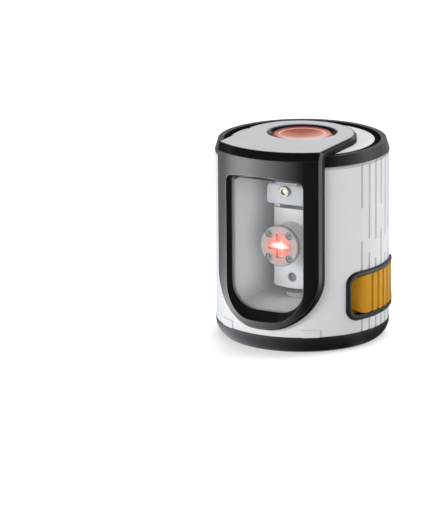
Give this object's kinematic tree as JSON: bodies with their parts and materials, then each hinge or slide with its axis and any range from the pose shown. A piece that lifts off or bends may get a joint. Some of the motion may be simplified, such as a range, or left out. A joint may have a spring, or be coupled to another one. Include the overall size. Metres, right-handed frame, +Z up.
{
  "type": "cross line laser level",
  "caption": "Self-levelling cross line laser: white drum, black band round a front window and over the top, red push button, amber lock slider, hinged rear battery door, tripod thread.",
  "frame": {"origin": "mouth of the tripod thread at the centre of the underside, on the drum's axis", "axes": "+Z up along the drum's axis, window facing -Y, lock slider on +X, battery door on +Y"},
  "size_m": [0.066, 0.0676, 0.0767],
  "materials": {
    "white_plastic": "satin",
    "black_gloss": "gloss",
    "black_rubber": "matte",
    "black_plastic": "matte",
    "dark_plastic": "satin",
    "silver_plastic": "satin",
    "red_clear": "gloss",
    "amber_plastic": "satin",
    "clear_pane": "gloss",
    "grey_plastic": "satin",
    "cast_grey": "satin",
    "aluminium": "satin",
    "brass": "polished",
    "copper": "satin",
    "steel": "satin",
    "magnet": "satin",
    "glass": "polished",
    "pad_rubber": "matte",
    "board_green": "satin",
    "lamp_red": "gloss",
    "cell_jacket": "satin"
  },
  "bodies": {
    "housing": {"body_shell": "white_plastic", "door_pin": "steel", "base_plate": "black_plastic", "tripod_insert": "brass", "base_screws": "steel", "top_cover": "white_plastic", "top_ring": "black_rubber", "front_bezel": "black_gloss", "top_plate": "silver_plastic", "window_pane": "clear_pane", "pane_seal": "black_rubber", "push_switch": "dark_plastic", "status_led": "lamp_red", "circuit_board": "board_green", "board_screws": "steel", "slider_frame": "dark_plastic", "chassis": "grey_plastic", "damping_magnets": "magnet", "hanger_bracket": "grey_plastic", "hanger_screws": "steel", "roll_bushes": "brass", "battery_tray": "black_plastic", "battery_cells": "cell_jacket", "cell_contacts": "steel", "cell_springs": "steel"},
    "button": {"button_cap": "red_clear", "switch_plunger": "black_plastic"},
    "slider": {"lock_slider": "amber_plastic", "lock_cam": "dark_plastic", "cam_screw": "steel"},
    "brake": {"brake_carrier": "dark_plastic", "brake_pad": "pad_rubber"},
    "gimbal": {"gimbal_block": "aluminium", "roll_pins": "steel", "pitch_pins": "steel"},
    "pendulum": {"pendulum_body": "cast_grey", "pitch_bushes": "brass", "laser_barrel": "aluminium", "optic_cap": "dark_plastic", "cap_screws": "steel", "line_lens_horizontal": "glass", "line_lens_vertical": "glass", "collimator_lens": "glass", "laser_diode": "steel", "copper_plate": "copper", "trim_screws": "brass"},
    "door": {"battery_door": "white_plastic"}
  },
  "joints": [
    {"name": "button_press", "type": "slide", "parent": "housing", "child": "button", "axis": [0, 0, -1], "range_m": [0, 0.001], "stiffness_N_per_m": 1200, "springref_m": -0.0006},
    {"name": "lock_slide", "type": "hinge", "parent": "housing", "child": "slider", "pos_m": [0, 0, 0.0205], "axis": [0, 0, -1], "range_deg": [0, 6]},
    {"name": "brake_lift", "type": "slide", "parent": "housing", "child": "brake", "axis": [0, 0, 1], "range_m": [0, 0.0014]},
    {"name": "roll_swing", "type": "hinge", "parent": "housing", "child": "gimbal", "pos_m": [0, -0.0035, 0.057], "axis": [0, 1, 0], "range_deg": [-3.5, 3.5]},
    {"name": "pitch_swing", "type": "hinge", "parent": "gimbal", "child": "pendulum", "pos_m": [0, -0.0035, 0.057], "axis": [1, 0, 0], "range_deg": [-3.5, 3.5]},
    {"name": "door_swing", "type": "hinge", "parent": "housing", "child": "door", "pos_m": [-0.015, 0.02781, 0.038], "axis": [0, 0, 1], "range_deg": [0, 95]}
  ],
  "couplings": [
    {"joint": "brake_lift", "follows": "lock_slide", "m_per_rad": 0.013368}
  ]
}
